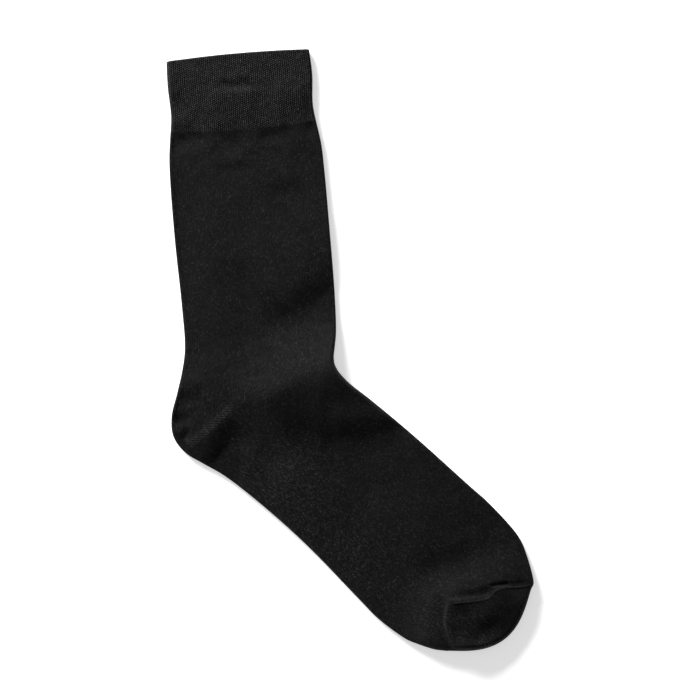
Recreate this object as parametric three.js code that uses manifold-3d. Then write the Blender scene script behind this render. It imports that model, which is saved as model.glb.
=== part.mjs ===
// A plain crew sock laid flat on its side, in millimetres. It is knitted as one tube, so it lies as two
// layers that fold over along the back and the front. X runs towards the toe, Y up the leg, and Z up
// from the surface that the sock lies on. The origin is under the middle of the whole sock.
import * as THREE from "three";
import { mergeVertices } from "three/addons/utils/BufferGeometryUtils.js";
import Module from "manifold-3d";

// The cloth
const wall = 1.2; // one knitted layer
const cuffWall = 2.0; // the cuff's cloth is turned and doubled
const edgeThickness = 3.4; // both layers and the air between them, at the folded edges
const cuffExtra = 1.0; // how much thicker the cuff lies than the leg
const swell = 1.0; // how much higher the cloth stands away from its edges
const swellReach = 16;
const leastThickness = 3.0;
const bowShape = 1.15; // 1 bends a section to a parabola, and more gives it a rounder middle

// Pieces
const seamGap = 0.3;
const toeSeam = { width: 2.0, height: 0.9, lift: 0.36 };

// Mesh
const ringStep = 8; // between rings on the straight stretches
const fineStep = 4.6; // between rings round the heel and the toe
const acrossSteps = 12; // across each layer, between its folded edges
const foldAngles = [0, 45, 90]; // round a quarter of a folded edge
const edgeSamples = 4; // points of the outline for each section

const sockColour = 0x161616;
const cuffColour = 0x1b1b1b;

// Sections across the flat sock, from the mouth to the toe. x and y are the middle of a section, tilt
// is how far its front end is raised in degrees, width is the flat width, and bow is how far its
// middle runs ahead of its ends, towards the toe.
const sections = [
  { at: "mouth", x: -67.2, y: 176.4, tilt: 5, width: 86.2, bow: -1.2 },
  { at: "cuff", x: -65.9, y: 161.7, tilt: 5, width: 87.4, bow: -0.5 },
  { at: "cuff waist", x: -64.7, y: 143.7, tilt: 5, width: 85.7, bow: 1.2 },
  { at: "cuff foot", x: -63.9, y: 133.6, tilt: 4.5, width: 87.9, bow: 2.0 },
  { at: "calf", x: -62.7, y: 119.6, tilt: 5, width: 91.7, bow: 0.8 },
  { at: "upper leg", x: -61.5, y: 104.0, tilt: 5, width: 93.0, bow: 0 },
  { at: "leg", x: -58.5, y: 68.6, tilt: 5, width: 93.3, bow: 0 },
  { at: "lower leg", x: -54.9, y: 29.7, tilt: 5, width: 92.2, bow: 0 },
  { at: "ankle", x: -53.6, y: 5.7, tilt: 6, width: 91.4, bow: 0 },
  { at: "ankle bend", x: -54.7, y: -5.0, tilt: 9, width: 92.9, bow: 0 },
  { at: "heel start", x: -56.6, y: -15.3, tilt: 13, width: 96.7, bow: 0 },
  { at: "heel back", x: -58.0, y: -24.5, tilt: 18, width: 103.1, bow: 0 },
  { at: "heel", x: -56.8, y: -31.8, tilt: 23, width: 106.4, bow: 0 },
  { at: "heel turn", x: -52.6, y: -37.5, tilt: 28, width: 104.2, bow: 0 },
  { at: "heel under", x: -46.7, y: -41.7, tilt: 32, width: 99.2, bow: 0 },
  { at: "heel end", x: -37.9, y: -47.7, tilt: 36.5, width: 93.6, bow: 0 },
  { at: "instep", x: -21.1, y: -60.7, tilt: 42.5, width: 91.3, bow: 0 },
  { at: "arch", x: 5.6, y: -83.8, tilt: 46, width: 92.0, bow: 0 },
  { at: "ball", x: 38.6, y: -115.6, tilt: 46.5, width: 95.2, bow: 0 },
  { at: "wide foot", x: 50.6, y: -127.0, tilt: 45.5, width: 96.2, bow: 0 },
  { at: "toe start", x: 67.6, y: -143.0, tilt: 42, width: 91.4, bow: 0 },
  { at: "toe", x: 73.0, y: -149.5, tilt: 39, width: 85.0, bow: 0 },
  { at: "seam corner", x: 80.0, y: -158.9, tilt: 34.2, width: 73.1, bow: 1.5 },
  { at: "toe end", x: 83.3, y: -161.8, tilt: 36.2, width: 63.3, bow: 15 },
];

// The largest folds of the upper layer, each from its front end to its back end. bend is how far its
// middle lies towards the toe, rise is above the plain cloth, and the other columns are how far it
// fades towards the cuff, towards the toe and past its ends.
const folds = [
  { name: "upper ankle swell", from: [-6, 69], to: [-42, 34], bend: 0, rise: 1.8, cuffSide: 30, toeSide: 17, ends: 8 },
  { name: "upper ankle trough", from: [-4, 35], to: [-44, 14], bend: 0, rise: -1.4, cuffSide: 10, toeSide: 12, ends: 5 },
  { name: "ankle ridge", from: [24, -6], to: [-40, -27], bend: -5, rise: 4.5, cuffSide: 23.5, toeSide: 24.5, ends: 25 },
  { name: "ankle crest", from: [16, -5], to: [-48, -28], bend: -5, rise: 0.8, cuffSide: 9, toeSide: 7, ends: 8 },
  { name: "bend swell", from: [6, -10], to: [-14, -10], bend: 0, rise: 1.6, cuffSide: 16, toeSide: 20, ends: 8 },
  { name: "instep trough", from: [26, -61], to: [2, -62], bend: 1, rise: -2.6, cuffSide: 13, toeSide: 24, ends: 14 },
  { name: "instep fold", from: [20, -37], to: [-2, -38], bend: 0, rise: 0.8, cuffSide: 12, toeSide: 8, ends: 10 },
  { name: "arch trough", from: [-16, -50], to: [-48, -53], bend: 0, rise: -1.2, cuffSide: 22, toeSide: 18, ends: 12 },
  { name: "heel pocket", from: [-72, -36], to: [-99, -45], bend: 0, rise: -0.7, cuffSide: 9, toeSide: 7, ends: 5 },
  { name: "heel gore", from: [-72, -41], to: [-87, -62], bend: 0, rise: 1.2, cuffSide: 8, toeSide: 9, ends: 4 },
  { name: "heel trough", from: [-68, -54], to: [-80, -78], bend: 0, rise: -1.9, cuffSide: 9, toeSide: 9, ends: 8 },
  { name: "leg back swell", from: [-83, 66], to: [-85, -4], bend: 0, rise: 1.3, cuffSide: 14, toeSide: 17, ends: 36 },
  { name: "toe trough", from: [88, -114], to: [54, -130], bend: 3, rise: -1.2, cuffSide: 9, toeSide: 11, ends: 12 },
  { name: "toe swell", from: [104, -138], to: [68, -146], bend: 0, rise: 2.6, cuffSide: 14, toeSide: 44, ends: 9 },
  { name: "toe side swell", from: [52, -150], to: [50, -172], bend: 0, rise: 2.4, cuffSide: 12, toeSide: 36, ends: 12 },
  { name: "toe edge swell", from: [68, -181], to: [46, -170], bend: 0, rise: 1.6, cuffSide: 30, toeSide: 10, ends: 16 },
  { name: "toe front ridge", from: [92, -146], to: [82, -162], bend: 0, rise: 1.2, cuffSide: 10, toeSide: 12, ends: 5 },
  { name: "toe hollow", from: [86, -164], to: [82, -166.5], bend: 0, rise: -1.0, cuffSide: 4.5, toeSide: 4.5, ends: 3 },
];

// Where the knitting changes direction: the heel pocket's first and last rows meet at its apex, on
// the line where the leg ends and the foot begins, and the toe pocket starts at its seam and gore.
const heelApex = [-64.2, -30];
const seams = [
  { name: "heel first row", points: [[-108, -33.5], heelApex] },
  { name: "heel last row", points: [[-80, -79], heelApex] },
  { name: "ankle row", points: [heelApex, [0, -3.5]] },
  { name: "toe seam", points: [[116, -138.2], [103, -140.6], [92, -141.2], [86.5, -143], [82.5, -147.3], [60.8, -150.4]] },
  { name: "toe gore", points: [[60.8, -150.4], [59.6, -157], [59.8, -166], [62, -172.5], [67, -190]] },
];
const nodePlaces = { leg: [-58, 70], heel: [-88, -45], foot: [15, -90], toe: [85, -163] };

const lastSection = sections.length - 1;
const sectionAt = (name) => sections.findIndex((section) => section.at === name);

// The folded edges. A point's z holds the section's bow.
function edgeCurve(side) {
  const points = sections.map(({ x, y, tilt, width, bow }) => {
    const angle = THREE.MathUtils.degToRad(tilt);
    const reach = (side * width) / 2;
    return new THREE.Vector3(x + reach * Math.cos(angle), y + reach * Math.sin(angle), bow);
  });
  return new THREE.CatmullRomCurve3(points);
}
const backEdge = edgeCurve(-1);
const frontEdge = edgeCurve(1);

// The place on the flat sock at a station (0 at the mouth, 1 more for each section) and at a share
// of the way across, from back to front.
function flatPoint(station, across) {
  const back = backEdge.getPoint(station / lastSection);
  const front = frontEdge.getPoint(station / lastSection);
  const run = new THREE.Vector2(front.x - back.x, front.y - back.y);
  const ahead = (back.z * Math.pow(4 * across * (1 - across), bowShape)) / run.length();
  return new THREE.Vector2(
    back.x + run.x * across + run.y * ahead,
    back.y + run.y * across - run.x * ahead,
  );
}

function edgeOutline() {
  const points = [];
  const steps = lastSection * edgeSamples;
  for (let i = 0; i <= steps; i++) points.push(flatPoint(i / edgeSamples, 0));
  for (let i = 1; i < steps; i++) points.push(flatPoint(lastSection, i / steps));
  for (let i = steps; i >= 0; i--) points.push(flatPoint(i / edgeSamples, 1));
  return points;
}
const outline = edgeOutline();
const middle = new THREE.Box2().setFromPoints(outline).getCenter(new THREE.Vector2());

// How far a place is from the nearest folded edge. The mouth isn't one.
function distanceToEdge(point) {
  const nearest = new THREE.Vector3();
  const place = new THREE.Vector3(point.x, point.y, 0);
  let least = Infinity;
  for (let i = 1; i < outline.length; i++) {
    const a = new THREE.Vector3(outline[i - 1].x, outline[i - 1].y, 0);
    const b = new THREE.Vector3(outline[i].x, outline[i].y, 0);
    new THREE.Line3(a, b).closestPointToPoint(place, true, nearest);
    least = Math.min(least, nearest.distanceTo(place));
  }
  return least;
}

const bell = (distance, reach) => Math.exp(-((distance / reach) ** 2));

// How far a fold lifts the cloth at a place.
function foldRise({ from, to, bend, rise, cuffSide, toeSide, ends }, point) {
  const start = new THREE.Vector2(...from);
  const run = new THREE.Vector2(...to).sub(start);
  const length = run.length();
  const away = point.clone().sub(start);
  const along = away.dot(run) / length;
  const share = THREE.MathUtils.clamp(along / length, 0, 1);
  const aside = run.cross(away) / length - bend * 4 * share * (1 - share); // positive towards the toe
  const past = Math.max(0, -along, along - length);
  return rise * bell(aside, aside > 0 ? toeSide : cuffSide) * bell(past, ends);
}

function thicknessAt(point, distance, extra) {
  const middleRise = swell * (1 - bell(distance, swellReach));
  const folded = folds.reduce((sum, fold) => sum + foldRise(fold, point), 0);
  return Math.max(leastThickness, edgeThickness + middleRise + folded) + extra;
}

// The height of the outer face of a layer. side is 1 on the upper layer and -1 on the lower one,
// which is flat but for the round of the folded edge.
function heightAt(point, side, extra, distance) {
  const half = thicknessAt(point, distance, extra) / 2;
  const inward = Math.min(1, distance / half);
  return half + side * half * Math.sqrt(1 - (1 - inward) ** 2);
}

// One ring of the tube: over the upper layer from back to front, and under it again.
function ring(station, extra) {
  const width = flatPoint(station, 0).distanceTo(flatPoint(station, 1));
  const radius = (edgeThickness + extra) / 2;
  const rounds = foldAngles.map((angle) => (radius * (1 - Math.cos(THREE.MathUtils.degToRad(angle)))) / width);
  const inner = rounds.at(-1);
  const between = Array.from({ length: acrossSteps - 1 }, (_, i) => inner + ((i + 1) / acrossSteps) * (1 - 2 * inner));
  const across = [...rounds, ...between, ...rounds.map((share) => 1 - share).reverse()];
  const layer = (side) =>
    across.map((share) => {
      const point = flatPoint(station, share);
      const onEdge = share === 0 || share === 1 || station === lastSection;
      const height = heightAt(point, side, extra, onEdge ? 0 : distanceToEdge(point));
      return new THREE.Vector3(point.x, point.y, height);
    });
  return [...layer(1), ...layer(-1).slice(1, -1).reverse()];
}

// The stations of the rings from one section to another.
function stationsBetween(first, last) {
  const stations = [first];
  for (let i = first; i < last; i++) {
    const fine = (i >= sectionAt("ankle") && i < sectionAt("instep")) || i >= sectionAt("wide foot");
    const run =
      (flatPoint(i, 0).distanceTo(flatPoint(i + 1, 0)) +
        flatPoint(i, 1).distanceTo(flatPoint(i + 1, 1)) +
        flatPoint(i, 0.5).distanceTo(flatPoint(i + 1, 0.5))) /
      3;
    const steps = Math.max(1, Math.round(run / (fine ? fineStep : ringStep)));
    for (let k = 1; k <= steps; k++) stations.push(i + k / steps);
  }
  return stations;
}

// Brings the last rings close together, so that the folded end of the toe is round.
function roundEnd(stations) {
  const before = stations.slice(0, -1);
  const run = flatPoint(lastSection - 1, 0.5).distanceTo(flatPoint(lastSection, 0.5));
  const radius = edgeThickness / 2 / run;
  const rounds = foldAngles.map((angle) => lastSection - radius * (1 - Math.cos(THREE.MathUtils.degToRad(angle))));
  return [...before.filter((station) => station < rounds.at(-1) - radius / 2), ...rounds.reverse()];
}

function sheetGeometry(rows, flipped) {
  const count = rows[0].length;
  const index = [];
  for (let i = 1; i < rows.length; i++) {
    for (let k = 0; k < count; k++) {
      const next = (k + 1) % count;
      const [a, b, c, d] = [(i - 1) * count + k, (i - 1) * count + next, i * count + next, i * count + k];
      index.push(...(flipped ? [a, b, c, a, c, d] : [a, c, b, a, d, c]));
    }
  }
  const geometry = new THREE.BufferGeometry().setFromPoints(rows.flat());
  geometry.setIndex(index);
  return geometry;
}

// A tube of cloth from its outer rings. It is open at its first ring, and also at its last unless
// that ring is shut flat.
function tubeOfCloth(rows, thickness, shutEnd) {
  const count = rows[0].length;
  const outer = sheetGeometry(rows, false);
  outer.computeVertexNormals();
  const normals = outer.getAttribute("normal");
  const innerRows = rows.map((row, i) =>
    row.map((point, k) => {
      const inward = new THREE.Vector3().fromBufferAttribute(normals, i * count + k);
      if (shutEnd && i === rows.length - 1) {
        inward.add(new THREE.Vector3().fromBufferAttribute(normals, i * count + ((count - k) % count)));
        inward.z = 0;
      }
      return point.clone().addScaledVector(inward.normalize(), -thickness);
    }),
  );
  const points = [...rows.flat(), ...innerRows.flat()];
  const shift = rows.length * count;
  const index = [...outer.index.array, ...sheetGeometry(innerRows, true).index.array.map((i) => i + shift)];
  const joinEnd = (start, flipped) => {
    for (let k = 0; k < count; k++) {
      const [a, b] = [start + k, start + ((k + 1) % count)];
      index.push(...(flipped ? [a, b + shift, b, a, a + shift, b + shift] : [a, b, b + shift, a, b + shift, a + shift]));
    }
  };
  joinEnd(0, false);
  if (!shutEnd) joinEnd((rows.length - 1) * count, true);
  const geometry = new THREE.BufferGeometry().setFromPoints(points);
  geometry.setIndex(index);
  return geometry;
}

const wasm = await Module();
wasm.setup();

function solidFrom(geometry) {
  const bare = new THREE.BufferGeometry().setAttribute("position", geometry.getAttribute("position"));
  bare.setIndex(geometry.getIndex());
  const merged = mergeVertices(bare, 1e-4);
  return new wasm.Manifold(
    new wasm.Mesh({
      numProp: 3,
      vertProperties: merged.attributes.position.array,
      triVerts: new Uint32Array(merged.index.array),
    }),
  );
}

function geometryFrom(solid) {
  const mesh = solid.getMesh();
  const geometry = new THREE.BufferGeometry();
  geometry.setAttribute("position", new THREE.BufferAttribute(mesh.vertProperties, 3));
  geometry.setIndex(new THREE.BufferAttribute(mesh.triVerts, 1));
  return geometry;
}

// A thin upright sheet along one stretch of a seam, which parts the pieces on its two sides.
function seamBlade([fromX, fromY], [toX, toY]) {
  const bladeHeight = 40;
  const length = Math.hypot(toX - fromX, toY - fromY) + seamGap;
  const blade = new THREE.BoxGeometry(length, seamGap, bladeHeight);
  blade.rotateZ(Math.atan2(toY - fromY, toX - fromX));
  blade.translate((fromX + toX) / 2, (fromY + toY) / 2, 0);
  return solidFrom(blade);
}

// How far a ring moves, in stations, to leave half of the seam's gap beside a section.
function halfGap(station, direction) {
  const trial = 0.02;
  const steps = [0, 0.25, 0.5, 0.75, 1].map((across) =>
    flatPoint(station, across).distanceTo(flatPoint(station + direction * trial, across)),
  );
  return (trial * seamGap) / 2 / Math.min(...steps);
}

function cuffGeometry() {
  const first = 0;
  const last = sectionAt("cuff foot");
  const stations = stationsBetween(first, last);
  stations[stations.length - 1] -= halfGap(last, -1);
  return tubeOfCloth(stations.map((station) => ring(station, cuffExtra)), cuffWall, false);
}

// The leg, heel, foot and toe are knitted as one tube, and parted here along the seams.
function knittedPieces() {
  const first = sectionAt("cuff foot");
  const stations = roundEnd(stationsBetween(first, lastSection));
  stations[0] += halfGap(first, 1);
  const tube = solidFrom(tubeOfCloth(stations.map((station) => ring(station, 0)), wall, true));
  const blades = seams.flatMap(({ points }) => points.slice(1).map((point, i) => seamBlade(points[i], point)));
  const bodies = blades.reduce((left, blade) => left.subtract(blade), tube).decompose();
  return Object.entries(nodePlaces).map(([name, [x, y]]) => {
    const away = (body) => {
      const { min, max } = body.boundingBox();
      return Math.hypot((min[0] + max[0]) / 2 - x, (min[1] + max[1]) / 2 - y);
    };
    const body = bodies.reduce((best, other) => (away(other) < away(best) ? other : best));
    return [name, geometryFrom(body)];
  });
}

// A raised line of stitches lying on the upper layer, just on the toe's side of a seam.
function raisedLine(seamName, { width, height, lift }) {
  const pieceLength = 3;
  const edgeInset = 2;
  const { points } = seams.find(({ name }) => name === seamName);
  const path = new THREE.CatmullRomCurve3(points.map(([x, y]) => new THREE.Vector3(x, y, 0)));
  const places = path.getSpacedPoints(Math.round(path.getLength() / pieceLength));
  const inside = places.filter((place) => distanceToEdge(place) > edgeInset && insideOutline(place));
  const profile = [[-1, 0], [1, 0], [0.5, height], [-0.5, height]]; // half widths and heights
  const rows = inside.map((place, i) => {
    const ahead = inside[Math.min(i + 1, inside.length - 1)];
    const behind = inside[Math.max(i - 1, 0)];
    const run = new THREE.Vector2(ahead.x - behind.x, ahead.y - behind.y).normalize();
    return profile.map(([side, up]) => {
      const aside = width / 2 + seamGap + (side * width) / 2;
      const point = new THREE.Vector2(place.x - run.y * aside, place.y + run.x * aside);
      const clothHeight = heightAt(point, 1, 0, distanceToEdge(point));
      return new THREE.Vector3(point.x, point.y, clothHeight + lift + up);
    });
  });
  return closedBar(rows);
}

function insideOutline(point) {
  let inside = false;
  outline.forEach((a, i) => {
    const b = outline[(i + 1) % outline.length];
    const crosses = a.y > point.y !== b.y > point.y;
    if (crosses && point.x < ((b.x - a.x) * (point.y - a.y)) / (b.y - a.y) + a.x) inside = !inside;
  });
  return inside;
}

function closedBar(rows) {
  const geometry = sheetGeometry(rows, false);
  const count = rows[0].length;
  const end = (rows.length - 1) * count;
  const caps = [];
  for (let k = 1; k < count - 1; k++) caps.push(0, k, k + 1, end, end + k + 1, end + k);
  geometry.setIndex([...geometry.index.array, ...caps]);
  return geometry;
}

function clothMesh(name, geometry, colour) {
  const facingOut = solidFrom(geometry).volume() > 0;
  if (!facingOut) geometry.index.array.reverse();
  geometry.computeVertexNormals();
  const material = new THREE.MeshStandardMaterial({ color: colour, roughness: 0.95, metalness: 0 });
  const mesh = new THREE.Mesh(geometry, material);
  mesh.name = name;
  return mesh;
}

const sock = new THREE.Group();
sock.position.set(-middle.x, -middle.y, 0);
sock.add(clothMesh("cuff", cuffGeometry(), cuffColour));
for (const [name, geometry] of knittedPieces()) sock.add(clothMesh(name, geometry, sockColour));
sock.add(clothMesh("toe_seam", raisedLine("toe seam", toeSeam), sockColour));

export default sock;
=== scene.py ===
import math

import bmesh
import bpy
import numpy as np
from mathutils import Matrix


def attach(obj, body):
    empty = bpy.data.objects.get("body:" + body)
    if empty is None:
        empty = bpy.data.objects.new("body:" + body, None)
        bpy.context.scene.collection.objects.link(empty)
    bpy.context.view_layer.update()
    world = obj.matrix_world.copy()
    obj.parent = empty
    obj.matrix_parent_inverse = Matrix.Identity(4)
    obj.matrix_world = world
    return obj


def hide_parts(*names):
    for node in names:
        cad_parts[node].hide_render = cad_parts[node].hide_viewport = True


# A plain crew sock lying flat on its side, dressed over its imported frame. Lengths are in millimetres
# until a mesh is made. X runs towards the toe, Y up the leg and Z up from the floor.
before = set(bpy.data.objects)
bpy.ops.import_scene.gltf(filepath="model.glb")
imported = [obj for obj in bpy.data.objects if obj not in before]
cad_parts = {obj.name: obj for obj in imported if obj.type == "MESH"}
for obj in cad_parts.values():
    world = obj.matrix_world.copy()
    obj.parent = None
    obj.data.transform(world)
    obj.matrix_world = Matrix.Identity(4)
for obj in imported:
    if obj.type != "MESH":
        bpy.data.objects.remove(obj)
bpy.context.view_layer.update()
mm = 0.001
detail = 1  # how many times coarser the cloth is while trying things

cloth = {
    "wall": 1.2,  # one knitted layer
    "edgeThickness": 3.4,  # both layers and the air between them, at the folded edges
    "swell": 1.0,  # how much higher the cloth stands away from its edges
    "swellReach": 16,
    "leastThickness": 3.0,
    "widestRound": 2.6,  # how far in from its edge the cloth is rounded at most
    "creaseFade": 3,  # how far in from its edge the underside's creases and the mottle fade
    "markFade": 1.6,  # and the smaller marks
    "bowShape": 1.15,
    "mottle": 0.16,  # uneven lie of the cloth between its creases
    "mottleWaves": (9, 34),  # the shortest and the longest
    "mottleCount": 26,
    "mottleSeed": 11,
    "walesAcross": 72,  # stitch columns across one layer
    "coursePitch": 0.95,
    "waleDepth": 0.1,
}

# Sections across the flat sock, from the mouth to the toe. x and y are the middle of a section, tilt
# is how far its front end is raised in degrees, and bow is how far its middle runs towards the toe.
sections = [
    # at, x, y, tilt, width, bow
    ("mouth", -67.2, 176.4, 5, 86.2, -1.2),
    ("cuff", -65.9, 161.7, 5, 87.4, -0.5),
    ("cuff waist", -64.7, 143.7, 5, 85.7, 1.2),
    ("cuff foot", -63.9, 133.6, 4.5, 87.9, 2.0),
    ("calf", -62.7, 119.6, 5, 91.7, 0.8),
    ("upper leg", -61.5, 104.0, 5, 93.0, 0),
    ("leg", -58.5, 68.6, 5, 93.3, 0),
    ("lower leg", -54.9, 29.7, 5, 92.2, 0),
    ("ankle", -53.6, 5.7, 6, 91.4, 0),
    ("ankle bend", -54.7, -5.0, 9, 92.9, 0),
    ("heel start", -56.6, -15.3, 13, 96.7, 0),
    ("heel back", -58.0, -24.5, 18, 103.1, 0),
    ("heel", -56.8, -31.8, 23, 106.4, 0),
    ("heel turn", -52.6, -37.5, 28, 104.2, 0),
    ("heel under", -46.7, -41.7, 32, 99.2, 0),
    ("heel end", -37.9, -47.7, 36.5, 93.6, 0),
    ("instep", -21.1, -60.7, 42.5, 91.3, 0),
    ("arch", 5.6, -83.8, 46, 92.0, 0),
    ("ball", 38.6, -115.6, 46.5, 95.2, 0),
    ("wide foot", 50.6, -127.0, 45.5, 96.2, 0),
    ("toe start", 67.6, -143.0, 42, 91.4, 0),
    ("toe", 73.0, -149.5, 39, 85.0, 0),
    ("seam corner", 80.0, -158.9, 34.2, 73.1, 1.5),
    ("toe end", 83.3, -161.8, 36.2, 63.3, 15),
]

# Folds and creases of the upper layer, each along a line from its front end to its back end. bend is
# how far its middle lies towards the toe, rise is above the plain cloth, and the last three columns
# are how far it fades towards the cuff, towards the toe and past its ends.
creases = [
    # name, fromX, fromY, toX, toY, bend, rise, cuffSide, toeSide, ends
    ("upper ankle swell", -6, 69, -42, 34, 0, 1.8, 30, 17, 8),
    ("upper ankle trough", -4, 35, -44, 14, 0, -1.4, 10, 12, 5),
    ("ankle ridge", 24, -6, -40, -27, -5, 4.5, 23.5, 24.5, 25),
    ("ankle crest", 16, -5, -48, -28, -5, 0.8, 9, 7, 8),
    ("bend swell", 6, -10, -14, -10, 0, 1.6, 16, 20, 8),
    ("instep trough", 26, -61, 2, -62, 1, -2.6, 13, 24, 14),
    ("instep fold", 20, -37, -2, -38, 0, 0.8, 12, 8, 10),
    ("arch trough", -16, -50, -48, -53, 0, -1.2, 22, 18, 12),
    ("heel pocket", -72, -36, -99, -45, 0, -0.7, 9, 7, 5),
    ("heel gore", -72, -41, -87, -62, 0, 1.2, 8, 9, 4),
    ("heel trough", -68, -54, -80, -78, 0, -1.9, 9, 9, 8),
    ("leg back swell", -83, 66, -85, -4, 0, 1.3, 14, 17, 36),
    ("toe trough", 88, -114, 54, -130, 3, -1.2, 9, 11, 12),
    ("toe swell", 104, -138, 68, -146, 0, 2.6, 14, 44, 9),
    ("toe side swell", 52, -150, 50, -172, 0, 2.4, 12, 36, 12),
    ("toe edge swell", 68, -181, 46, -170, 0, 1.6, 30, 10, 16),
    ("toe front ridge", 92, -146, 82, -162, 0, 1.2, 10, 12, 5),
    ("toe hollow", 86, -164, 82, -166.5, 0, -1.0, 4.5, 4.5, 3),
]

# Smaller marks on the upper layer, in the same columns.
marks = [
    ("cuff trough", -63, 158.8, -76, 158.4, 0, -0.3, 2.6, 2.4, 4),
    ("cuff ridge", -60, 153.4, -80, 152.6, 0, 0.6, 2.8, 22, 4),
    ("cuff upper ridge", -63, 164, -76, 163, 0, 0.3, 3, 2.6, 3),
    ("cuff front ridge", -31, 155, -42, 153.6, 0, 0.6, 6, 20, 4),
    ("cuff back swell", -99, 137, -108, 136, 0, 0.6, 5, 4, 4),
    ("cuff back fold", -110, 173, -108.5, 156, 0, 1.0, 3, 7, 6),
    ("cuff dip one", -90, 125.5, -104, 124.5, 0, -0.8, 4.5, 7, 3),
    ("cuff dip two", -69, 124.5, -76, 124, 0, -0.9, 6, 9, 5),
    ("cuff dip three", -38, 129, -51, 127.5, 0, -0.8, 4.5, 7, 3),
    ("cuff dip four", -20, 134.2, -25, 133.4, 0, -0.5, 2.4, 5, 2),
    ("calf arc", -44, 123, -66, 115, -4, 0.25, 2.4, 3, 4),
    ("calf back swell", -97, 116, -103, 113, 0, 0.25, 5, 5, 3),
    ("calf hollow one", -29, 95, -43, 91, 0, -0.75, 8, 14, 5),
    ("calf hollow two", -36, 80, -46, 76, 0, -0.4, 8, 14, 4),
    ("calf hollow three", -62, 109, -72, 106, 0, -0.25, 3, 3, 4),
    ("calf hollow four", -86, 115, -92, 113, 0, -0.25, 3, 3, 3),
    ("leg hollow", -66, 86, -100, 84, 0, -0.9, 32, 46, 12),
    ("upper ankle dip", -6, 69, -42, 34, 0, -0.4, 28, 17, 8),
    ("leg band", -63, 44, -61, -18, 0, -0.45, 7, 12, 8),
    ("ankle pit", -12, 16, -15, 16, 0, -0.6, 2.2, 2.2, 2),
    ("instep front fold", 16, -43, -16, -41, 0, 0.7, 8, 12, 8),
    ("ankle lower swell", -10, -28, -44, -38, 0, 0.5, 24, 24, 10),
    ("instep core", 10, -62, -6, -61, 0, -0.7, 9, 30, 14),
    ("instep lower swell", 40, -64, 18, -72, 0, 0.7, 12, 22, 7),
    ("arch swell", -8, -78, -34, -80, 0, 0.9, 15, 30, 10),
    ("arch hollow", 22, -92, 6, -94, 0, -0.35, 8, 10, 6),
    ("ball swell", 62, -104, 44, -108, 0, 0.45, 14, 16, 8),
    ("gore line", -67, -32, -94, -57.5, 2, 0.4, 3.4, 4, 3),
    ("gore shade", -68, -42, -79, -51, 0, -0.5, 5, 7, 3),
    ("heel edge fold one", -92, -19, -103, -22, 0, 0.5, 4, 4, 3),
    ("heel edge dip one", -91, -30.5, -103, -32.5, 0, -0.8, 5, 6, 3),
    ("heel edge dip two", -97, -40, -105, -42.5, 0, -0.9, 4, 4, 3),
    ("heel pit", -97, -49.5, -99, -53, 0, -0.8, 2, 2, 1.5),
    ("heel edge ridge", -101, -47, -104, -49, 0, 0.4, 2.2, 2.2, 3),
    ("toe upper dip", 80, -102, 56, -113, 0, -0.4, 7, 6, 9),
    ("toe upper line", 78, -106, 60, -114, 0, 0.06, 1.8, 3.5, 8),
    ("toe band swell", 98, -118, 78, -121, 0, 0.6, 9, 22, 5),
    ("toe front swell", 97, -138.5, 80, -140.5, 0, 0.6, 12, 3, 4),
    ("toe groove front", 94, -140.1, 85.4, -141.1, 0, -1.1, 1.3, 0.8, 1.2),
    ("toe groove tip", 103, -139.1, 95, -139.9, 0, -0.3, 0.9, 0.7, 2),
    ("toe groove back", 82, -145.6, 64, -148.4, 0, -0.75, 3.0, 1.3, 2),
    ("toe lip front", 106, -141, 86, -144.6, 0, 0.15, 0.8, 5, 2),
    ("toe lip back", 82, -148.6, 62, -151.8, 0, 0.12, 0.8, 5, 2),
    ("toe gore line", 59.4, -150, 62.5, -177, -3, 1.15, 1.35, 10, 1.5),
    ("gore side swell", 59, -148, 60, -178, -3, 0.9, 13, 9, 6),
    ("toe spot one", 66, -154, 70, -157, 0, -0.15, 2.4, 2.4, 1.5),
    ("toe spot two", 63, -167, 65, -173, 0, -0.4, 2.4, 2.4, 2),
    ("toe front line", 105.5, -148, 99.5, -166, 0, 0.8, 7, 3, 4),
    ("toe tip line", 97, -175, 68, -180.5, 0, 2.2, 6.5, 8, 4),
    ("toe spot three", 76, -173, 84, -174, 0, -0.5, 3, 3, 4),
]

# Soft troughs where the lower layer lifts from the floor, in the same columns.
undersideCreases = [
    ("under ankle", -2, 2, -62, -8, 2, 0.8, 9, 7, 10),
    ("under instep", 16, -40, -44, -50, -3, 0.6, 6, 9, 9),
    ("under calf", -30, 112, -74, 104, 3, 0.4, 8, 6, 9),
    ("under gore", -66, -35, -94, -57, 0, 0.45, 3, 4, 4),
    ("under toe", 92, -122, 48, -141, 3, 0.55, 6, 8, 8),
    ("under ball", 62, -84, 20, -112, -2, 0.35, 9, 7, 12),
    ("under cuff", -40, 152, -84, 149, 1, 0.3, 4, 4, 7),
]

heelApex = (-64.2, -30.0)
seamLines = {
    "heelFirstRow": [(-140, -36.1), heelApex],
    "heelLastRow": [(-96.2, -128), heelApex],
    "ankleRow": [heelApex, (80, 29.5)],
    "toeSeam": [(130, -135.4), (103, -140.6), (92, -141.2), (86.5, -143.0), (82.5, -147.3), (60.8, -150.4)],
    "toeGore": [(60.8, -150.4), (59.6, -157), (59.8, -166), (62, -172.5), (67, -190)],
}


def sectionAt(name):
    return [section[0] for section in sections].index(name)


lastSection = len(sections) - 1


# The square root of the length of runs, which a centripetal spline goes by.
def rootLength(runs):
    return np.sqrt(np.linalg.norm(runs, axis=-1, keepdims=True))


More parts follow.
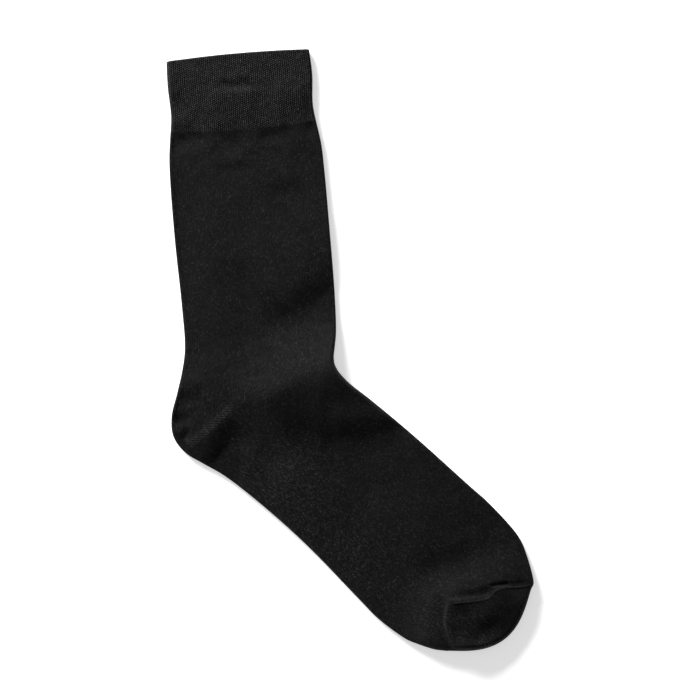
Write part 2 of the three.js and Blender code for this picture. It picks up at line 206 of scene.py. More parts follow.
# A smooth run through points, at any places counted in points.
def splineAt(points, places):
    points = np.asarray(points, float)
    padded = np.vstack([2 * points[0] - points[1], points, 2 * points[-1] - points[-2]])
    first = np.clip(np.floor(places).astype(int), 0, len(points) - 2)
    t = (places - first)[..., None]
    p0, p1, p2, p3 = (padded[first + k] for k in range(4))
    d0, d1, d2 = rootLength(p1 - p0), rootLength(p2 - p1), rootLength(p3 - p2)
    start = ((p1 - p0) / d0 - (p2 - p0) / (d0 + d1) + (p2 - p1) / d1) * d1
    end = ((p2 - p1) / d1 - (p3 - p1) / (d1 + d2) + (p3 - p2) / d2) * d1
    return p1 + t * (start + t * (3 * (p2 - p1) - 2 * start - end + t * (2 * (p1 - p2) + start + end)))


def edgePoints(side):
    rows = []
    for _, x, y, tilt, width, bow in sections:
        angle = math.radians(tilt)
        rows.append((x + side * width / 2 * math.cos(angle), y + side * width / 2 * math.sin(angle), bow))
    return rows


# The place on the flat sock at a station (1 more for each section) and a share of the way across.
def flatPoints(stations, across):
    back = splineAt(edgePoints(-1), stations)
    front = splineAt(edgePoints(1), stations)
    run = front[..., :2] - back[..., :2]
    ahead = back[..., 2] * (4 * across * (1 - across)) ** cloth["bowShape"] / np.linalg.norm(run, axis=-1)
    x = back[..., 0] + run[..., 0] * across + run[..., 1] * ahead
    y = back[..., 1] + run[..., 1] * across - run[..., 0] * ahead
    return np.stack([x, y], -1)


# How far apart two stations are at a share of the way across.
def lengthBetween(first, last, share):
    return np.linalg.norm(np.diff(flatPoints(np.array([first, last], float), np.full(2, share)), axis=0))


def outlinePoints(perSection):
    down = np.linspace(0, lastSection, lastSection * perSection + 1)
    over = np.linspace(0, 1, len(down))
    back = flatPoints(down, np.zeros_like(down))
    toe = flatPoints(np.full_like(over, lastSection), over)
    front = flatPoints(down[::-1], np.ones_like(down))
    return np.vstack([back, toe[1:-1], front])


outline = outlinePoints(perSection=10)
middle = (outline.min(0) + outline.max(0)) / 2


# How far places are from the nearest folded edge. The mouth isn't one.
def edgeDistance(places):
    flat = places.reshape(-1, 2)
    least = np.full(len(flat), np.inf)
    for a, b in zip(outline[:-1], outline[1:]):
        run = b - a
        share = np.clip(((flat - a) @ run) / max(run @ run, 1e-9), 0, 1)
        away = flat - a - share[:, None] * run
        least = np.minimum(least, np.einsum("ij,ij->i", away, away))
    return np.sqrt(least).reshape(places.shape[:-1])


def bell(distance, reach):
    return np.exp(-((distance / reach) ** 2))


# What a table of creases adds to the cloth's height at places.
def creaseRise(table, places):
    total = np.zeros(places.shape[:-1])
    for _, fromX, fromY, toX, toY, bend, rise, cuffSide, toeSide, ends in table:
        run = np.array([toX - fromX, toY - fromY], float)
        length = np.linalg.norm(run)
        x, y = places[..., 0] - fromX, places[..., 1] - fromY
        along = (x * run[0] + y * run[1]) / length
        share = np.clip(along / length, 0, 1)
        aside = (run[0] * y - run[1] * x) / length - bend * 4 * share * (1 - share)
        past = np.maximum(0, np.maximum(-along, along - length))
        total += rise * bell(aside, np.where(aside > 0, toeSide, cuffSide)) * bell(past, ends)
    return total


# Gentle unevenness from a few long waves in all directions, the same on every run.
def mottle(places):
    draw = np.random.default_rng(cloth["mottleSeed"])
    shortest, longest = cloth["mottleWaves"]
    total = np.zeros(places.shape[:-1])
    for _ in range(cloth["mottleCount"]):
        length = draw.uniform(shortest, longest)
        turn, phase = draw.uniform(0, 2 * math.pi, 2)
        across = places[..., 0] * math.cos(turn) + places[..., 1] * math.sin(turn)
        total += np.sin(2 * math.pi * across / length + phase) * length / longest
    return total / math.sqrt(cloth["mottleCount"])


# How high a layer's outer face is. side is 1 on the upper layer and -1 on the lower one, and extra is
# how much thicker the two layers are than the body's.
def clothHeight(places, distance, side, extra):
    middleRise = cloth["swell"] * (1 - bell(distance, cloth["swellReach"]))
    thick = cloth["edgeThickness"] + middleRise + creaseRise(creases, places)
    half = (np.maximum(cloth["leastThickness"], thick) + extra) / 2
    inward = np.minimum(1, distance / np.minimum(half, cloth["widestRound"]))
    height = half + side * half * np.sqrt(1 - (1 - inward) ** 2)
    inside = 1 - bell(distance, cloth["creaseFade"])
    if side > 0:
        uneven = cloth["mottle"] * mottle(places)
        marked = (1 - bell(distance, cloth["markFade"])) * creaseRise(marks, places)
        return height + inside * uneven + marked
    return height + inside * creaseRise(undersideCreases, places)


# A tube of cloth at stations: each ring of points runs over the upper layer from back to front and
# under it again.
def outerRings(stations, cellsAcross, extra, shutEnd):
    across = np.linspace(0, 1, cellsAcross + 1)
    grid, shares = np.meshgrid(stations, across, indexing="ij")
    places = flatPoints(grid, shares)
    distance = edgeDistance(places)
    distance[:, 0] = distance[:, -1] = 0
    if shutEnd:
        distance[-1] = 0
    layers = []
    for side in (1, -1):
        height = clothHeight(places, distance, side, extra)
        layers.append(np.concatenate([places, height[..., None]], -1))
    return np.concatenate([layers[0], layers[1][:, -2:0:-1]], 1)


def ringNormals(rings):
    around = np.roll(rings, -1, 1) - np.roll(rings, 1, 1)
    down = np.gradient(rings, axis=0)
    normal = np.cross(down, around)
    return normal / np.maximum(np.linalg.norm(normal, axis=-1, keepdims=True), 1e-9)


# Stations whose rings lie the stated steps apart. A step holds from its section on.
def stationsBetween(first, last, steps):
    found = [sectionAt(first)]
    step = None
    for i in range(sectionAt(first), sectionAt(last)):
        step = steps.get(sections[i][0], step)
        runs = [lengthBetween(i, i + 1, share) for share in (0, 0.5, 1)]
        count = max(1, round(float(np.mean(runs)) / step / detail))
        found += [i + (k + 1) / count for k in range(count)]
    return np.array(found)


# Faces between rings. Each ring has count points, and a face faces out of the tube.
def ringFaces(ringCount, count, start=0):
    ring, k = np.meshgrid(start + count * np.arange(ringCount - 1), np.arange(count), indexing="ij")
    ring, k = ring.ravel(), k.ravel()
    after = (k + 1) % count
    return np.stack([ring + k, ring + count + k, ring + count + after, ring + after], 1)


# A closed wall of cloth from its outer rings. The inside is coarser: every ringSkip-th ring and every
# pointSkip-th point. numbers holds the wale and course numbers of the outer points, rimSteps rings
# round the cloth over at its first end, and shutEnd joins the two layers at its last.
def wallMesh(name, plain, stitched, numbers, wall, ringSkip, pointSkip, rimSteps, shutEnd):
    count = plain.shape[1]
    normal = ringNormals(plain)
    keep = np.unique(np.append(np.arange(0, len(plain), ringSkip), len(plain) - 1))
    inward = normal[keep][:, ::pointSkip]
    inner = plain[keep][:, ::pointSkip] - wall * inward
    if shutEnd:
        flat = normal[-1] + normal[-1][(-np.arange(count)) % count]
        flat[:, 2] = 0
        flat /= np.maximum(np.linalg.norm(flat, axis=-1, keepdims=True), 1e-9)
        inner[-1] = (plain[-1] - wall * flat)[::pointSkip]
    rim = []
    if rimSteps:
        out = plain[0] - plain[1]
        out /= np.linalg.norm(out, axis=-1, keepdims=True)
        for step in range(1, rimSteps + 1):
            angle = math.pi * step / (rimSteps + 1)
            turned = out * math.sin(angle) - normal[0] * (1 - math.cos(angle))
            rim.append(plain[0] + wall / 2 * turned)
        rim = rim[::-1]
    rows = np.concatenate([np.array(rim).reshape(-1, count, 3), stitched]) if rim else stitched
    around, down = numbers
    if rim:
        down = np.concatenate([np.repeat(down[:1], len(rim), 0), down])
        around = np.concatenate([np.repeat(around[:1], len(rim), 0), around])
    innerCount = count // pointSkip
    shift = len(rows) * count
    outerFaces = ringFaces(len(rows), count)
    innerFaces = ringFaces(len(inner), innerCount, shift)[:, ::-1]
    points = np.vstack([rows.reshape(-1, 3), inner.reshape(-1, 3)])
    u = np.concatenate([around.ravel(), around[0, ::pointSkip][None].repeat(len(inner), 0).ravel()])
    v = np.concatenate([down.ravel(), down[-len(plain):][keep][:, ::pointSkip].ravel()])

    lastOuter = (len(rows) - 1) * count
    lastInner = shift + (len(inner) - 1) * innerCount
    same = np.arange(len(points))  # the shut end's upper and lower points are the same ones
    if shutEnd:
        for start, size in ((lastOuter, count), (lastInner, innerCount)):
            k = np.arange(size)
            same[start + k] = start + np.minimum(k, (size - k) % size)
    faces = [list(dict.fromkeys(face)) for face in same[np.vstack([outerFaces, innerFaces])].tolist()]
    islands = [0 if k < count // 2 else 1 for k in (np.arange(len(outerFaces)) % count).tolist()]
    islands += [2 if k < innerCount // 2 else 3 for k in (np.arange(len(innerFaces)) % innerCount).tolist()]

    ends = [(0, shift, True)]
    if not shutEnd:
        ends.append((lastOuter, lastInner, False))
    for outerStart, innerStart, first in ends:
        for j in range(innerCount):
            run = [outerStart + (j * pointSkip + k) % count for k in range(pointSkip + 1)]
            face = run + [innerStart + (j + 1) % innerCount, innerStart + j]
            faces.append(face if first else face[::-1])
            islands.append(4)
    return clothObject(name, points, faces, u, v, islands)


def clothObject(name, points, faces, u, v, islands):
    places = (points - [middle[0], middle[1], 0]) * mm
    mesh = bpy.data.meshes.new(name)
    mesh.from_pydata(places.tolist(), [], faces)
    mesh.update()
    corners = np.empty(len(mesh.loops), int)
    mesh.loops.foreach_get("vertex_index", corners)
    knit = mesh.uv_layers.new(name="knit")
    knit.data.foreach_set("uv", np.stack([u[corners], v[corners]], 1).ravel())
    wrapSeam(mesh, knit)
    island = mesh.attributes.new("island", "INT", "FACE")
    island.data.foreach_set("value", np.array(islands, np.int32))
    piece = bpy.data.objects.new(name, mesh)
    bpy.context.scene.collection.objects.link(piece)
    return piece


# Column numbers start again at the back edge, so the faces there take the number past the last.
def wrapSeam(mesh, layer):
    values = np.empty(len(mesh.loops) * 2)
    layer.data.foreach_get("uv", values)
    values = values.reshape(-1, 2)
    starts = np.empty(len(mesh.polygons), int)
    totals = np.empty(len(mesh.polygons), int)
    mesh.polygons.foreach_get("loop_start", starts)
    mesh.polygons.foreach_get("loop_total", totals)
    owner = np.repeat(np.arange(len(starts)), totals)
    highest = np.maximum.reduceat(values[:, 0], starts)
    whole = values[:, 0].max()
    lastQuarter, firstQuarter = whole * 0.75, whole * 0.25  # a face at that edge has numbers in both
    late = (highest[owner] > lastQuarter) & (values[:, 0] < firstQuarter)
    values[late, 0] += 2 * cloth["walesAcross"]
    layer.data.foreach_set("uv", values.ravel())


# Wale and course numbers for every point of the rings.
def knitNumbers(stations, cellsAcross, wales, pitch):
    count = 2 * cellsAcross
    mid = flatPoints(stations, np.full(len(stations), 0.5))
    run = np.concatenate([[0], np.cumsum(np.linalg.norm(np.diff(mid, axis=0), axis=1))]) / pitch
    around = np.arange(count) / cellsAcross * wales
    return np.tile(around, (len(stations), 1)), np.repeat(run[:, None], count, 1)


# Keeps the part of a closed mesh that stands on an outline.
def keptPart(source, name, plan):
    low, high = -20, 40  # below and above the cloth
    count = len(plan)
    places = [((x - middle[0]) * mm, (y - middle[1]) * mm, z * mm) for z in (low, high) for x, y in plan]
    walls = [[k, (k + 1) % count, count + (k + 1) % count, count + k] for k in range(count)]
    mesh = bpy.data.meshes.new("cutter")
    mesh.from_pydata(places, [], [list(range(count))[::-1], list(range(count, 2 * count))] + walls)
    work = bmesh.new()
    work.from_mesh(mesh)
    bmesh.ops.recalc_face_normals(work, faces=work.faces)
    work.to_mesh(mesh)
    work.free()
    island = mesh.attributes.new("island", "INT", "FACE")
    island.data.foreach_set("value", np.full(len(mesh.polygons), 4, np.int32))
    cutter = bpy.data.objects.new("cutter", mesh)
    bpy.context.scene.collection.objects.link(cutter)
    cut = source.modifiers.new("cut", "BOOLEAN")
    cut.operation, cut.solver, cut.object = "INTERSECT", "MANIFOLD", cutter
    depsgraph = bpy.context.evaluated_depsgraph_get()
    kept = bpy.data.meshes.new_from_object(
        source.evaluated_get(depsgraph), preserve_all_data_layers=True, depsgraph=depsgraph
    )
    source.modifiers.remove(cut)
    bpy.data.objects.remove(cutter)
    kept.name = name
    piece = bpy.data.objects.new(name, kept)
    bpy.context.scene.collection.objects.link(piece)
    return piece


# Smooth shading but for the sharp edges round the walls' ends.
def shadeSmooth(piece, sharpest=50):
    work = bmesh.new()
    work.from_mesh(piece.data)
    for face in work.faces:
        face.smooth = True
    limit = math.radians(sharpest)
    for edge in work.edges:
        edge.smooth = not edge.is_manifold or edge.calc_face_angle(0) < limit
    work.to_mesh(piece.data)
    work.free()


# An even layout for baking: the upper, lower and two inner sides lie beside each other.
def bakeLayout(piece):
    mesh = piece.data
    points = np.empty(len(mesh.vertices) * 3)
    mesh.vertices.foreach_get("co", points)
    points = points.reshape(-1, 3)
    corners = np.empty(len(mesh.loops), int)
    mesh.loops.foreach_get("vertex_index", corners)
    totals = np.empty(len(mesh.polygons), int)
    mesh.polygons.foreach_get("loop_total", totals)
    island = np.empty(len(mesh.polygons), np.int32)
    mesh.attributes["island"].data.foreach_get("value", island)
    island = np.repeat(island, totals)
    low, high = points.min(0), points.max(0)
    margin, apart = 1.02, 1.04  # as shares of a side's own square
    x, y, z = ((points[corners] - low) / ((high - low)[:2].max() * margin)).T
    isSide = [island == side for side in range(4)]
    u = np.select(isSide, [x, apart + x, x, apart + x], x + y)
    v = np.select(isSide, [y, y, apart + y, apart + y], z)
    room, strip, stripWidth, top = 0.48, 0.02, 0.45, 0.995
    isWall = island == 4
    u = np.where(isWall, u * stripWidth, u * room)
    v = np.where(isWall, top - strip + v * strip, v * (room - strip / 2))
    layer = mesh.uv_layers.new(name="OFBake")
    layer.data.foreach_set("uv", np.stack([u, v], 1).ravel())


# Body of the sock, knitted as one tube and parted along the seams

tube = {
    "cellsAcross": 288 // detail,
    "steps": {  # how far apart its rings lie, from each section on
        "cuff foot": 0.8,
        "calf": 1.45,
        "ankle": 1.3,
        "heel back": 1.1,
        "arch": 1.7,
        "ball": 1.0,
        "toe start": 0.8,
    },
    "ringSkip": 4,
    "pointSkip": 6,
    "endAngles": (90, 72, 54, 36, 18, 0),  # of the rings that round the toe over
    "endGap": 0.2,  # how far before them the last plain ring lies at least, in radii
}


def roundEnd(stations, radius):
    share = radius / lengthBetween(lastSection - 1, lastSection, 0.5)
    ends = lastSection - share * (1 - np.cos(np.radians(tube["endAngles"])))
    return np.concatenate([stations[stations < ends[0] - share * tube["endGap"]], ends])


def knittedTube():
    plainStations = stationsBetween("cuff foot", "toe end", tube["steps"])
    stations = roundEnd(plainStations, cloth["edgeThickness"] / 2)
    cells = tube["cellsAcross"]
    plain = outerRings(stations, cells, 0, True)
    numbers = knitNumbers(stations, cells, cloth["walesAcross"], cloth["coursePitch"])
    sink = cloth["waleDepth"] / detail**3 * (0.5 - 0.5 * np.cos(2 * math.pi * (numbers[0] + 0.5)))
    sink[-len(tube["endAngles"]):] = 0
    stitched = plain - ringNormals(plain) * sink[..., None]
    skips = tube["ringSkip"], tube["pointSkip"]
    return wallMesh("tube", plain, stitched, numbers, cloth["wall"], *skips, rimSteps=0, shutEnd=True)


def bodyPieces():
    whole = knittedTube()
    far = 400  # past the sock on every side
    heelBack, heelUnder = seamLines["heelFirstRow"][0], seamLines["heelLastRow"][0]
    ankleFront = seamLines["ankleRow"][1]
    toeLine = seamLines["toeSeam"] + seamLines["toeGore"][1:]
    toeFront, toeUnder = toeLine[0], toeLine[-1]
    underFoot = [heelApex, heelUnder, (heelUnder[0], -far), (toeUnder[0], -far)]
    beforeInstep = [(far, toeFront[1]), (far, ankleFront[1]), ankleFront]
    plans = {
        "leg": [heelBack, heelApex, ankleFront, (far, far), (-far, far)],
        "heel": [heelBack, (-far, -far), heelUnder, heelApex],
        "toe": toeLine + [(far, toeUnder[1]), (far, toeFront[1])],
        "foot": underFoot + toeLine[::-1] + beforeInstep,
    }
    pieces = {name: keptPart(whole, name + "Cloth", plan) for name, plan in plans.items()}
    bpy.data.objects.remove(whole)
    return pieces


pieces = bodyPieces()
print("body knitted:", {name: len(piece.data.polygons) for name, piece in pieces.items()})

# Cuff, a doubled welt knitted with tucks that stand up as small bumps

cuff = {
    "extra": 1.0,  # how much thicker the cuff is than the leg
    "thinned": 0.92,  # how much of that is gone where it meets the leg
    "thinReach": 16,  # and how far from there it is thinner
    "wall": 2.0,
    "wales": 72,
    "pitch": 1.2,
    "bump": 0.16,
    "between": 0.35,  # how high the cloth is between the bumps of a column, as a share of theirs
    "cellsAcross": 288 // detail,
    "step": 0.4,
    "ringSkip": 4,
    "pointSkip": 4,
    "rimSteps": 5,
}


def cuffPiece():
    stations = stationsBetween("mouth", "cuff foot", {"mouth": cuff["step"]})
    rimBack = cuff["wall"] / 2 / lengthBetween(0, 1, 0.5)  # the rim comes out from here to the mouth
    leastGap = 0.3 * rimBack
    stations = np.concatenate([[rimBack], stations[stations > rimBack + leastGap]])
    cells = cuff["cellsAcross"]
    around, down = knitNumbers(stations, cells, cuff["wales"], cuff["pitch"])
    toLeg = (down[-1, :1] - down[:, :1]) * cuff["pitch"]
    extra = cuff["extra"] * (1 - cuff["thinned"] * bell(toLeg, cuff["thinReach"]))
    plain = outerRings(stations, cells, extra, False)
    stagger = 0.5 * (np.floor(around) % 2)
    low = cuff["between"]
    bumps = np.sin(math.pi * around) ** 2 * (low + (1 - low) * np.sin(math.pi * (down + stagger)) ** 2)
    stitched = plain - ringNormals(plain) * (cuff["bump"] * (1 - bumps))[..., None]
    plan = (around, down), cuff["wall"], cuff["ringSkip"], cuff["pointSkip"]
    return wallMesh("cuffCloth", plain, stitched, *plan, rimSteps=cuff["rimSteps"], shutEnd=False)


pieces["cuff"] = cuffPiece()
print("cuff knitted:", len(pieces["cuff"].data.polygons))

# Toe seam, a raised line of linking stitches

toeSeam = {
    "width": 1.4,
    "height": 0.22,
    "stitch": 1.25,
    "narrowest": 0.75,  # its width between two stitches, as a share
    "aside": 0.3,  # how far it lies from the cut between foot and toe
    "lift": 0.05,
    "inset": 1.2,  # how far it stays from the folded edge
    "tipInset": 1,  # and from the sock's furthest front
    "sides": 8,
    "stepsPerStitch": 5,
    "wales": 3,
}


def toeSeamPiece():
    corners = np.array(seamLines["toeSeam"])
    fine = 400  # points along the spline, from which even steps are taken
    places = splineAt(corners, np.linspace(0, len(corners) - 1, fine))
    run = np.concatenate([[0], np.cumsum(np.linalg.norm(np.diff(places, axis=0), axis=1))])
    steps = np.arange(0, run[-1], toeSeam["stitch"] / toeSeam["stepsPerStitch"])
    path = np.stack([np.interp(steps, run, places[:, k]) for k in (0, 1)], 1)
    ahead = np.gradient(path, axis=0)
    ahead /= np.linalg.norm(ahead, axis=1, keepdims=True)
    aside = np.stack([-ahead[:, 1], ahead[:, 0]], 1)
    path = path + aside * (toeSeam["aside"] + toeSeam["width"] / 2)
    front = outline[:, 0].max() - toeSeam["tipInset"]
    inside = (edgeDistance(path) > toeSeam["inset"]) & (path[:, 0] < front)
    path, aside, steps = path[inside], aside[inside], steps[inside]
    narrow = toeSeam["narrowest"]
    loop = narrow + (1 - narrow) * np.abs(np.sin(math.pi * steps / toeSeam["stitch"]))
    rings = []
    for k in range(toeSeam["sides"]):
        angle = 2 * math.pi * k / toeSeam["sides"]
        across = path + aside * (toeSeam["width"] / 2 * math.cos(angle) * loop)[:, None]
        ground = clothHeight(across, edgeDistance(across), 1, 0)
        up = toeSeam["lift"] + toeSeam["height"] * loop * (0.5 + 0.5 * math.sin(angle))
        rings.append(np.concatenate([across, (ground + up)[:, None]], 1))
    rings = np.stack(rings, 1)
    count = toeSeam["sides"]
    points = rings.reshape(-1, 3)
    faces = ringFaces(len(rings), count).tolist()
    faces += [list(range(count)), list(range(len(points) - count, len(points)))[::-1]]
    u = np.tile(np.arange(count) / count * toeSeam["wales"], len(rings))
    v = np.repeat(steps / cloth["coursePitch"], count)
    piece = clothObject("toeSeamLine", points, faces, u, v, [0] * len(faces))
    work = bmesh.new()
    work.from_mesh(piece.data)
    bmesh.ops.recalc_face_normals(work, faces=work.faces)
    work.to_mesh(piece.data)
    work.free()
    return piece


pieces["toe_seam"] = toeSeamPiece()
print("toe linked:", len(pieces["toe_seam"].data.polygons))

for piece in pieces.values():
    shadeSmooth(piece)
    bakeLayout(piece)

# Materials


class Wire:
    # a socket whose arithmetic adds Math nodes
    def __init__(self, tree, socket=None):
        self.tree, self.socket = tree, socket

    # adds a node: its settings are set first, then the values or wires of its sockets
    def node(self, kind, settings=None, inputs=None, output=0):
        made = self.tree.nodes.new(kind)
        for name, value in (settings or {}).items():
            setattr(made, name, value)
        for name, value in (inputs or {}).items():
            if isinstance(value, Wire):
                self.tree.links.new(value.socket, made.inputs[name])
            else:
                made.inputs[name].default_value = value
        return Wire(self.tree, made.outputs[output] if made.outputs else None)

    # another output of the same node
    def also(self, output):
        return Wire(self.tree, self.socket.node.outputs[output])

    def math(self, operation, *values):
        return self.node("ShaderNodeMath", {"operation": operation}, dict(enumerate(values)))

    # a Math operation on this wire
    def apply(self, operation, *others):
        return self.math(operation, self, *others)

    def __add__(self, other):
        return self.apply("ADD", other)

    def __sub__(self, other):
        return self.apply("SUBTRACT", other)

    def __rsub__(self, other):
        return self.math("SUBTRACT", other, self)

    def __mul__(self, other):
        return self.apply("MULTIPLY", other)

    def __truediv__(self, other):
        return self.apply("DIVIDE", other)

    __radd__, __rmul__ = __add__, __mul__


knit = {
    "yarn": (0.0098, 0.0098, 0.0101),
    "roughness": 0.6,
    "specular": 0.1,
    "sheen": 0.01,
    "sheenRoughness": 0.4,
    "slant": 0.9,  # how far a stitch's legs lean, in courses
    "legRound": 1.4,  # how much a leg narrows towards its top
    "plyLow": 0.3,  # the yarn's height where two stitches of a column meet, as a share
    "tuckLow": 0.15,  # and where two tucks do
    "midHeight": 0.4,  # yarn higher than this gets a painted highlight and yarn lower gets painted shade
    "unevenHeight": 0.3,  # how unlike the stitches' heights are, as a share either way
    "wander": 1.6,  # how far stitches stray from an even grid
    "wanderScale": (160.0, 210.0),  # across and down
    "fibreScale": 2600.0,
    "fibreLight": 0.8,
    "fibreHeight": 0.2,
    "fibreRoughness": 0.12,
    "patchScale": 240.0,
    "patchLight": 1.2,
    "streakScale": (0.16, 0.9),  # for each wale and each course
    "streakLight": 1.5,
    "strayFrom": 0.975,  # stitches whose chance is above this carry a stray fibre
}

# tone is the whole cloth's, dot how much painted shade the grooves between stitches and painted highlight
# the raised yarn get, speck how unlike the stitches are, lint how light the odd stray fibre is and bump how
# high the yarn stands, in millimetres
plainFinish = {"tone": 0.165, "dot": 1.55, "speck": 4.4, "lint": 0.7, "bump": 0.28}
cuffFinish = {"tone": 0.56, "dot": 2.2, "speck": 2.5, "lint": 0.7, "bump": 0.28}

# painted light: the sole's side is coloured paler under the arch, where its folds alone would leave it too
# dark, up to width from the line that the sole's edge follows
paintedSoleLight = {
    "through": (-60, -82),
    "ahead": (0.737, -0.676),
    "width": 60,
    # how much paler the painted light makes it
    "light": 1.1,
    "starts": (-18, 12),  # how far along the line it fades in
    "stops": (75, 140),  # and out
}

# painted light: spots coloured paler where the folds' slopes alone leave the cloth too dark
paintedLightSpots = [
    # x, y, reach, light
    (83, -178, 12, 2.4),
    (51, -164, 18, 0.8),
    (73, -162, 24, 1.2),
    (-26, 2, 30, 0.55),
    (-29, -60, 44, 0.5),
    (-72, -52, 14, 0.6),
]

goreLadder = {
    "start": (-69, -33),
    "end": (-96, -58),
    "halfWidth": 2.8,
    "fade": 1.2,
    "pitch": 1.45,
    # painted highlight on the ladder's raised bars
    "light": 0.8,
    "raised": 0.9,
}


# How high the yarn stands in plain knit, from wale and course numbers.
def stitchHeight(wale, course):
    half = (wale.apply("FRACT") - 0.5).apply("ABSOLUTE")
    leg = (half * (2 * math.pi)).apply("SINE")
    lean = course + half * knit["slant"] * 2
    ply = (lean * math.pi).apply("SINE")
    low = knit["plyLow"]
    return leg.apply("POWER", knit["legRound"]) * (low + (1 - low) * ply.apply("ABSOLUTE"))


# The cuff's tucks, one bump in each stitch, with every other column half a stitch lower.
def tuckHeight(wale, course):
    odd = (wale.apply("FLOOR") * 0.5).apply("FRACT")
    across = (wale * math.pi).apply("SINE")
    down = ((course + odd) * math.pi).apply("SINE")
    low = knit["tuckLow"]
    return across * across * (low + (1 - low) * down * down)


# From 0 to 1 while a value goes from one number to another.
def smoothRise(value, start, end):
    ends = {"Value": value, "From Min": start, "From Max": end}
    return value.node("ShaderNodeMapRange", {"interpolation_type": "SMOOTHSTEP"}, ends)


def noise(vector, scale, octaves):
    return vector.node("ShaderNodeTexNoise", inputs={"Vector": vector, "Scale": scale, "Detail": octaves})


# A place's x and y on the flat sock, counted from a point there in millimetres.
def placeFrom(place, x, y):
    parts = place.node("ShaderNodeSeparateXYZ", inputs={"Vector": place})
    return parts / mm - (x - middle[0]), parts.also(1) / mm - (y - middle[1])


# How much of the rows of picked-up loops beside the heel's gore shows at a place, 0 to 1.
def ladderHeight(place):
    (fromX, fromY), (toX, toY) = goreLadder["start"], goreLadder["end"]
    length = math.hypot(toX - fromX, toY - fromY)
    aheadX, aheadY = (toX - fromX) / length, (toY - fromY) / length
    x, y = placeFrom(place, fromX, fromY)
    along = x * aheadX + y * aheadY
    aside = x * aheadY - y * aheadX
    width = goreLadder["halfWidth"]
    near = smoothRise(aside.apply("ABSOLUTE"), width, width - goreLadder["fade"])
    within = along.apply("GREATER_THAN", 0) * along.apply("LESS_THAN", length)
    bars = (y * (math.pi / goreLadder["pitch"])).apply("SINE")
    return near * within * bars.apply("ABSOLUTE")


# How much painted light the sole's side takes at a place, 0 to 1.
def paintedSoleLightShare(place):
    aheadX, aheadY = paintedSoleLight["ahead"]
    x, y = placeFrom(place, *paintedSoleLight["through"])
    away = y * aheadX - x * aheadY
    along = x * aheadX + y * aheadY
    begun = smoothRise(along, *paintedSoleLight["starts"])
    going = smoothRise(along, *paintedSoleLight["stops"][::-1])
    return smoothRise(away, paintedSoleLight["width"], 0) * begun * going


# How much lighter the painted light spots make a place.
def paintedSpotLight(place):
    total = 0
    for x, y, reach, light in paintedLightSpots:
        centre = ((x - middle[0]) * mm, (y - middle[1]) * mm, 0)
        flat = place.node("ShaderNodeVectorMath", {"operation": "MULTIPLY"}, {0: place, 1: (1, 1, 0)})
        away = place.node("ShaderNodeVectorMath", {"operation": "DISTANCE"}, {0: flat, 1: centre}, "Value")
        total = smoothRise(away, reach * mm, 0) * light + total
    return total


def knitMaterial(name, finish, relief):
    material = bpy.data.materials.new(name)
    material.use_nodes = True
    tree = material.node_tree
    tree.nodes.clear()
    root = Wire(tree)
    numbers = root.node("ShaderNodeUVMap", {"uv_map": "knit"})
    parts = numbers.node("ShaderNodeSeparateXYZ", inputs={"Vector": numbers})
    place = root.node("ShaderNodeTexCoord", output=3)
    wander, drift = (noise(place, scale, 2.0) for scale in knit["wanderScale"])
    wale = parts + (wander - 0.5) * knit["wander"]
    course = parts.also(1) + (drift - 0.5) * knit["wander"]
    height = relief(wale, course)
    perWale, perCourse = knit["streakScale"]
    yarnRun = root.node("ShaderNodeCombineXYZ", inputs={0: wale * perWale, 1: course * perCourse})
    streak = noise(yarnRun, 1.0, 1.5)
    stitchLeg = {0: (wale * 2).apply("FLOOR"), 1: course.apply("FLOOR")}
    leg = root.node("ShaderNodeCombineXYZ", inputs=stitchLeg)
    chance = root.node("ShaderNodeTexWhiteNoise", {"noise_dimensions": "2D"}, {"Vector": leg})
    fibre = noise(place, knit["fibreScale"], 3.0)
    patch = noise(place, knit["patchScale"], 3.0)
    stray = chance.apply("GREATER_THAN", knit["strayFrom"])
    # painted shade and highlight: yarn in the grooves is coloured darker and raised yarn lighter, standing
    # in for light on the stitches' relief
    shade = (height - knit["midHeight"]) * finish["dot"] + (chance - 0.5) * finish["speck"]
    shade = shade + stray * finish["lint"]
    shade = shade + (streak - 0.5) * knit["streakLight"] + (patch - 0.5) * knit["patchLight"]
    shade = shade + (fibre - 0.5) * knit["fibreLight"]
    uneven = knit["unevenHeight"]
    raised = height * (1 - uneven + chance * (2 * uneven)) + fibre * knit["fibreHeight"]
    if relief is stitchHeight:
        ladder = ladderHeight(place)
        # painted light: the sole's side and the pale spots are coloured lighter
        paintedLight = paintedSoleLightShare(place) * paintedSoleLight["light"] + paintedSpotLight(place)
        # the ladder's raised bars get a painted highlight
        shade = shade + ladder * goreLadder["light"] + paintedLight
        raised = raised + ladder * goreLadder["raised"]
    lightness = shade.math("POWER", 2.0, shade) * finish["tone"]
    dyed = {0: 1.0, 6: (*knit["yarn"], 1), 7: lightness}
    colour = root.node("ShaderNodeMix", {"data_type": "RGBA", "blend_type": "MULTIPLY"}, dyed, 2)
    relieved = {"Strength": 1.0, "Distance": finish["bump"] * mm, "Height": raised}
    form = root.node("ShaderNodeBump", inputs=relieved)
    surface = root.node(
        "ShaderNodeBsdfPrincipled",
        inputs={
            "Base Color": colour,
            "Roughness": knit["roughness"] + fibre * knit["fibreRoughness"],
            "Specular IOR Level": knit["specular"],
            "Sheen Weight": knit["sheen"],
            "Sheen Roughness": knit["sheenRoughness"],
            "Normal": form,
        },
    )
    root.node("ShaderNodeOutputMaterial", inputs={"Surface": surface})
    return material


plainKnit = knitMaterial("plain black knit", plainFinish, stitchHeight)
cuffKnit = knitMaterial("tucked black knit", cuffFinish, tuckHeight)
print("yarn dyed")

# Each piece takes its material slot and hangs from the root body, and its frame part is hidden

for node, piece in pieces.items():
    isCuff = node == "cuff"
    piece.data.materials.clear()
    piece.data.materials.append(cuffKnit if isCuff else plainKnit)
    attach(piece, "root")
    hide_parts(node)

# Floor, light and camera

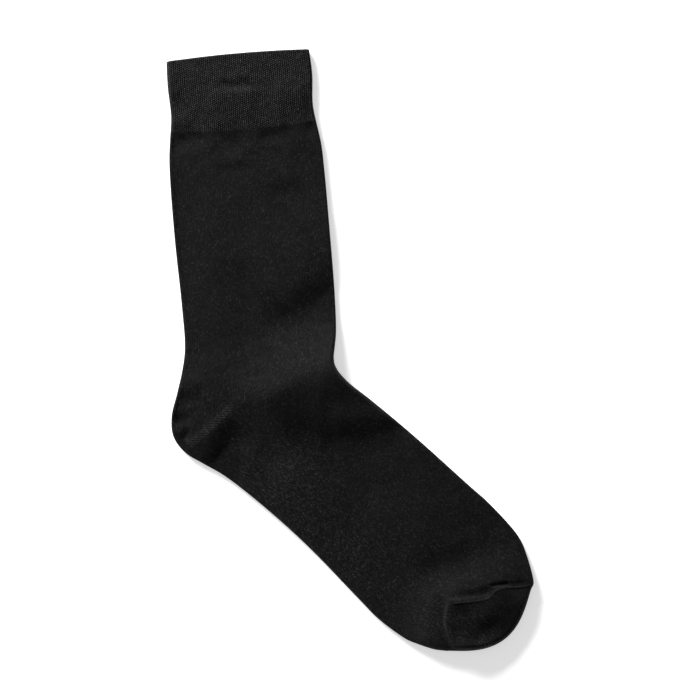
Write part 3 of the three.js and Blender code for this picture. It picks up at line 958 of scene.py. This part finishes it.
studio = {
    "floorSize": 6.0,
    "floorDrop": 0.05,  # how far under the sock the floor lies, so that the two don't share a plane
    "floorTone": 0.92,
    "floorRoughness": 0.9,
    "floorSpecular": 0.1,
    "floorGlow": 0.52,  # a light table, so that the shadows stay faint
    "sky": 0.22,
    "keyPower": 2560,
    "keySize": 3.0,
    "keyDistance": 8.0,
    "keyElevation": 15.5,
    "keyTurn": 125,
    "cameraHeight": 2.0,
    "framedWidth": 0.42,
}


def floorAndSky():
    half = studio["floorSize"] / 2
    mesh = bpy.data.meshes.new("floor")
    corners = [(-half, -half, 0), (half, -half, 0), (half, half, 0), (-half, half, 0)]
    mesh.from_pydata(corners, [], [[0, 1, 2, 3]])
    floor = bpy.data.objects.new("floor", mesh)
    floor.location.z = -studio["floorDrop"] * mm
    bpy.context.scene.collection.objects.link(floor)
    paper = bpy.data.materials.new("white paper")
    paper.use_nodes = True
    shader = paper.node_tree.nodes["Principled BSDF"]
    shader.inputs["Base Color"].default_value = (*[studio["floorTone"]] * 3, 1)
    shader.inputs["Roughness"].default_value = studio["floorRoughness"]
    shader.inputs["Specular IOR Level"].default_value = studio["floorSpecular"]
    shader.inputs["Emission Color"].default_value = (1, 1, 1, 1)
    shader.inputs["Emission Strength"].default_value = studio["floorGlow"]
    mesh.materials.append(paper)
    world = bpy.data.worlds.new("sky")
    world.use_nodes = True
    world.node_tree.nodes["Background"].inputs["Color"].default_value = (1, 1, 1, 1)
    world.node_tree.nodes["Background"].inputs["Strength"].default_value = studio["sky"]
    bpy.context.scene.world = world


def keyLight():
    light = bpy.data.lights.new("key", "AREA")
    light.energy, light.size = studio["keyPower"], studio["keySize"]
    lamp = bpy.data.objects.new("key", light)
    up, around = math.radians(studio["keyElevation"]), math.radians(studio["keyTurn"])
    level = studio["keyDistance"] * math.cos(up)
    height = studio["keyDistance"] * math.sin(up)
    lamp.location = (level * math.cos(around), level * math.sin(around), height)
    lamp.rotation_euler = lamp.location.to_track_quat("Z", "Y").to_euler()
    bpy.context.scene.collection.objects.link(lamp)


def camera():
    sensor = 36
    lens = bpy.data.cameras.new("camera")
    lens.sensor_width = sensor
    lens.lens = sensor * studio["cameraHeight"] / studio["framedWidth"]
    lens.clip_end = 100
    eye = bpy.data.objects.new("camera", lens)
    eye.location = (0, 0, studio["cameraHeight"])
    bpy.context.scene.collection.objects.link(eye)
    bpy.context.scene.camera = eye


floorAndSky()
keyLight()
camera()
bpy.context.scene.view_settings.view_transform = "Standard"
print("studio lit")
